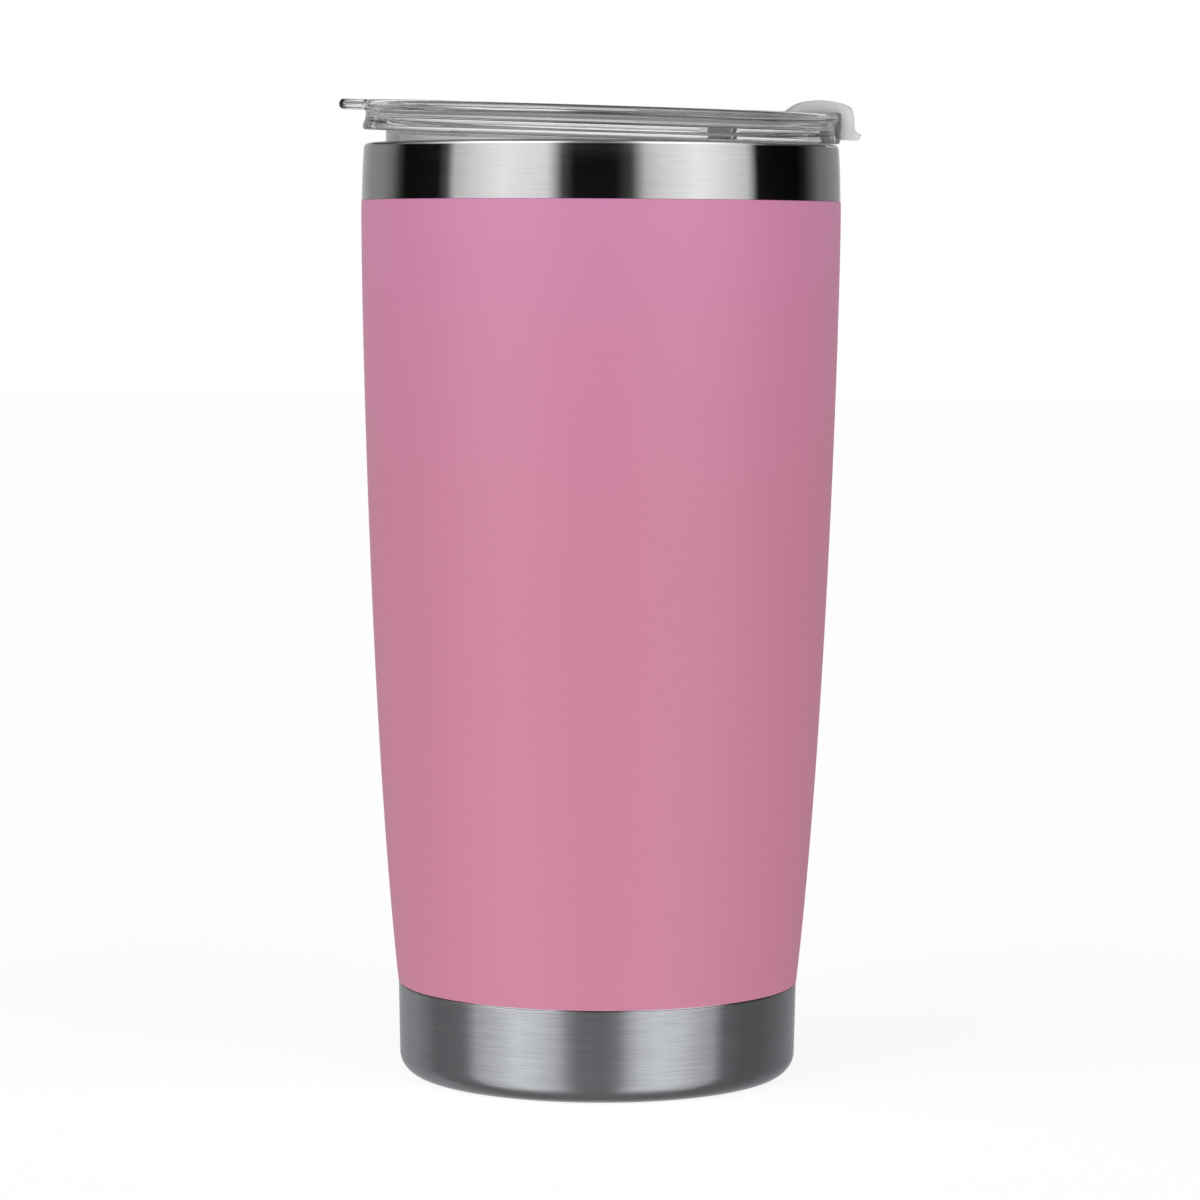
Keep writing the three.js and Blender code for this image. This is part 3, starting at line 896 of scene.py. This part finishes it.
# %% Gasket
seal_in = GROOVE_R + 0.1
seal_top = GROOVE_TOP_Z - 0.2
seal_low = GROOVE_LOW_Z + 0.2
LIP_R = 39.85
gasket_outside = through([
    (39.2, seal_low), (39.35, seal_low + 0.5), (LIP_R, seal_low + 1.2), (39.4, seal_low + 1.95),
    (LIP_R, seal_top - 0.85), (39.4, seal_top - 0.2), (39.2, seal_top),
])
gasket_profile = joined([(seal_in, seal_low)], gasket_outside, [(seal_in, seal_top)])
lid_seal = turned("lid_seal", gasket_profile, place=lid_frame)
finish_piece(lid_seal, silicone, "lid", "gasket_silicone", "lid_gasket")

# %% [markdown]
# ## Closure
# The closure is one soft moulding: a pad held by a stud, a thin web that is the hinge, and a
# flap with the plug, a dome over the ring and a hook with a finger lip outside it. Its side
# view is a closed profile, carried across its width. The pad's end is round and the hook
# follows the ring.

# %% Closure profile
CLOSURE_HALF = 8.0
PAD_END = STUD_AT - CLOSURE_HALF
HINGE_X = 22.0
WEB_HALF = 0.6
WEB_THICK = 0.55
LIP_TIP = (47.24, 1.85)
STRAP_THICK = 1.6
HUG = 0.12
strap_low = FLOOR_TOP_Z + 0.3
strap_top = strap_low + STRAP_THICK
hook_in = RING_R + HUG
over_ring = RING_H + HUG
web_low = strap_top - WEB_THICK
pad_middle = (PAD_END, (strap_low + strap_top) / 2)
closure_low = rounded([
    (*pad_middle, 0), (PAD_END, strap_low, 0.4), (HINGE_X - WEB_HALF, strap_low, 0.2),
    (HINGE_X - WEB_HALF + 0.1, web_low, 0.3), (HINGE_X + WEB_HALF - 0.1, web_low, 0.3),
    (HINGE_X + WEB_HALF, strap_low, 0.2), (36.2, strap_low, 0.3), (36.5, over_ring, 0.8),
    (hook_in, over_ring, 0.5), (hook_in, 0.8, 0.3), (46.8, 0.8, 0.25), (*LIP_TIP, 0),
])
closure_hook = joined([LIP_TIP], through([
    (46.55, 2.2), (46.05, 2.7), (45.92, 3.6), (45.86, 4.6), (45.64, 5.8), (45.25, 6.6),
    (44.5, 7.12), (43.4, 7.46), (41.4, 7.75), (39.5, 7.84), (37.6, 7.52), (36.0, 6.82),
    (34.35, 5.57), (32.95, 4.65), (31.1, 4.08), (29.4, strap_top),
], 4))
BEND_HALF = 1.5
BEND_STEPS = 12
bend_x = np.linspace(HINGE_X + BEND_HALF, HINGE_X - BEND_HALF, BEND_STEPS + 1)
closure_strap = np.column_stack([bend_x, np.full_like(bend_x, strap_top)])
pad_top = rounded([(12.0, strap_top, 0), (PAD_END, strap_top, 0.4), (*pad_middle, 0)])
closure_side = joined(closure_low, closure_hook, closure_strap, pad_top)[:-1]
print("closure's side view has", len(closure_side), "points")

# %% [markdown]
# The side view becomes a solid by carrying it from one side of the closure to the other. The
# hook must follow the round ring, so far from the axis a point at radius r moves to
# sqrt(r^2 - y^2); near the hinge it stays at r, so that the web is straight. The pad's end is
# rounded by drawing it towards the stud in the same way as an ellipse. The stud, with its
# mushroom head, and the plug for the drinking slot are then joined on below.

# %% Closure's shape in plan
SIDE_EDGE = 0.18
END_FULLNESS = 8.3
STRAIGHT_UP_TO = 24.0
ROUND_FROM = 33.0


def fade(value, low, high):
    """Smooth step from 0 at low to 1 at high."""
    t = np.clip((value - low) / (high - low), 0, 1)
    return t * t * (3 - 2 * t)


def curved_in_plan(points):
    """Slab points (r, z, w) to (x, y, z), with y = -w. Past the hinge x is
    r - f (r - sqrt(r^2 - y^2)), f fading in; before the stud x is
    s - (s - r) sqrt(1 - (y / fullness)^2), where s is the stud's place."""
    r, z, y = points[:, 0], points[:, 1], -points[:, 2]
    ring_r = np.maximum(r, STUD_AT)
    pulled_in = ring_r - np.sqrt(ring_r**2 - y**2)
    around_ring = r - fade(r, STRAIGHT_UP_TO, ROUND_FROM) * pulled_in
    round_end = STUD_AT - (STUD_AT - r) * np.sqrt(1 - (y / END_FULLNESS) ** 2)
    return np.column_stack([np.where(r < STUD_AT, round_end, around_ring), y, z])


# %% Closure mesh
SLICES = 25
levels = CLOSURE_HALF * np.sin(np.radians(np.linspace(-90, 90, SLICES)))
slab_points, slab_faces = prism(closure_side, levels, SIDE_EDGE)
flip_closure = mesh_object("flip_closure", curved_in_plan(slab_points), slab_faces)

# %% Stud and plug
head_top = SEAT_Z - 0.15
stud_profile = rounded([
    (0, head_top - 1.9, 0), (2.8, head_top - 1.9, 0.3), (3.6, head_top - 1.2, 0.3),
    (3.6, head_top, 0.2), (STUD_R, head_top, 0.2), (STUD_R, strap_low + 0.5, 0),
    (0, strap_low + 0.5, 0),
])
stud = turned("stud", stud_profile, 48, Matrix.Translation((STUD_AT, 0, 0)))
plug_outline = oblong(SLOT_R - 0.2, SLOT_W - 1.2, SLOT_L - 0.8)
plug = plate("plug", plug_outline, -0.6, strap_low + 0.6, 0.5)
carve(flip_closure, stud, "UNION")
carve(flip_closure, plug, "UNION")
set_in_lid(flip_closure)
print("closure with stud and plug:", len(flip_closure.data.polygons), "faces")

# %% Closure's finish
flip_closure.data.materials.clear()
flip_closure.data.materials.append(soft_plastic)


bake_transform(flip_closure)
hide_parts("closure_anchor", "closure_flap")
print("flip_closure", len(flip_closure.data.polygons), "faces, bends at its web")

# %% [markdown]
# ## Hidden parts
# Between the walls there are a reflective foil, a getter pill that keeps the vacuum, its
# strap, and the bead that seals the evacuation hole. They are CAD nodes that stay as they are
# and only take a finish.

# %% Finishes of the hidden parts


def metal(name, colour, roughness, grain_scale, depth):
    """Plain metal with a grain that varies its tone and roughness and bumps it a little."""
    material, tree, shader = new_material(name, Metallic=1.0)
    grain = noise(tree, grain_scale, detail=4.0, roughness=0.6)
    darker = tuple(0.8 * c for c in colour)
    link(tree, mixed(tree, spread(tree, grain, 0.0, 1.0), darker, colour), shader.inputs[0])
    rough = spread(tree, grain, roughness - 0.05, roughness + 0.08)
    link(tree, rough, shader.inputs["Roughness"])
    bump(tree, shader, grain, depth, 0.5)
    return material


foil = metal("reflective_foil", (0.86, 0.60, 0.45), 0.22, 70.0, 2e-4)
getter_metal = metal("getter_metal", (0.20, 0.19, 0.18), 0.70, 1500.0, 3e-5)
solder = metal("solder_glass", (0.10, 0.11, 0.12), 0.30, 600.0, 5e-5)
hidden_finishes = (
    ("liner_wrap", foil, "reflective_foil"),
    ("getter_pill", getter_metal, "getter_metal"),
    ("getter_holder", liner_steel, "liner_steel"),
    ("vacuum_seal_bead", solder, "solder_glass"),
)
for name, material, slot_name in hidden_finishes:
    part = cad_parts[name]
    part.data.materials.clear()
    part.data.materials.append(material)
print("hidden parts:", [row[0] for row in hidden_finishes])
